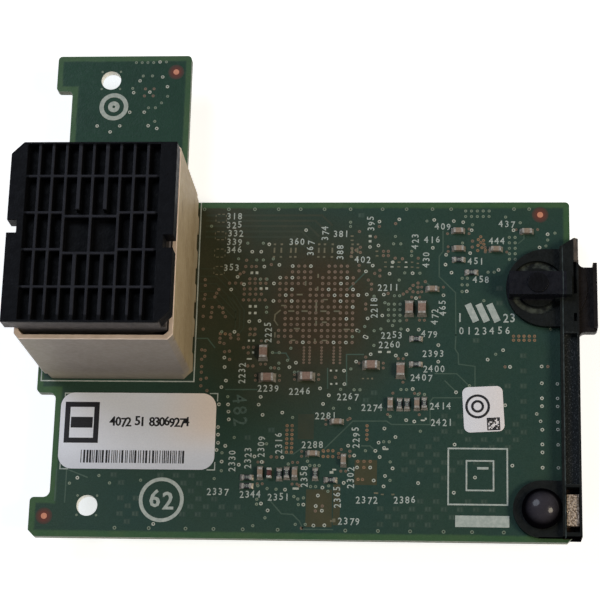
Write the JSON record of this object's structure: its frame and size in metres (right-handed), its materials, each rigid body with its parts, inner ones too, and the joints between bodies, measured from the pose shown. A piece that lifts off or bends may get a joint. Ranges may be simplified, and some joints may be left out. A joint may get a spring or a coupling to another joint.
{
  "type": "mezzanine network card",
  "caption": "Green circuit board with a side tab, a tall capped board connector at one end and a black moulded rail along the opposite edge.",
  "frame": {"origin": "middle of the footprint, at the height of the heat sink's fin tips, on which the card lies", "axes": "+X from the connector towards the moulded rail, +Y towards the tab, +Z out of the connector side"},
  "size_m": [0.0916, 0.0838, 0.0363],
  "materials": {
    "solder_mask": "satin green solder mask over glass-epoxy laminate",
    "housing_plastic": "matt beige moulding",
    "wafer_plastic": "matt black moulding",
    "contact_metal": "plated copper alloy",
    "solder": "bright solder",
    "cap_plastic": "matt black moulding",
    "rail_plastic": "semi-gloss black moulding",
    "pin_plastic": "semi-gloss black",
    "button_plastic": "glossy black",
    "pad_metal": "grainy plated metal",
    "label_paper": "matt white paper",
    "capacitor_ceramic": "matt tan ceramic",
    "resistor_coat": "black coat",
    "carrier_laminate": "green carrier board",
    "chip_moulding": "matt black moulding",
    "thermal_pad": "soft grey pad",
    "sink_aluminium": "bare extruded aluminium",
    "inductor_ferrite": "dark grey ferrite",
    "can_aluminium": "bright aluminium can",
    "crystal_ceramic": "dark ceramic",
    "crystal_metal": "plated steel lid",
    "bulk_cap_moulding": "ochre moulding"
  },
  "bodies": {
    "root": {"circuit_board": "solder_mask", "connector_housing": "housing_plastic", "connector_wafers": "wafer_plastic", "connector_contacts": "contact_metal", "connector_solder_joints": "solder", "connector_cap": "cap_plastic", "edge_rail": "rail_plastic", "retaining_pin": "pin_plastic", "dome_button": "button_plastic", "edge_contact_pad": "pad_metal", "large_label": "label_paper", "small_label": "label_paper", "small_capacitor_bodies": "capacitor_ceramic", "small_capacitor_ends": "solder", "large_capacitor_bodies": "capacitor_ceramic", "large_capacitor_ends": "solder", "resistor_bodies": "resistor_coat", "resistor_ends": "solder", "controller_balls": "solder", "controller_base": "carrier_laminate", "controller_cover": "chip_moulding", "thermal_pad": "thermal_pad", "heat_sink": "sink_aluminium", "inductor_bodies": "inductor_ferrite", "inductor_feet": "solder", "can_capacitors": "can_aluminium", "can_bases": "chip_moulding", "regulators": "chip_moulding", "memory_bodies": "chip_moulding", "memory_leads": "solder", "crystal_base": "crystal_ceramic", "crystal_lid": "crystal_metal", "bulk_capacitor_bodies": "bulk_cap_moulding", "bulk_capacitor_feet": "solder", "rear_capacitor_bodies": "capacitor_ceramic", "rear_capacitor_ends": "solder"}
  },
  "joints": []
}
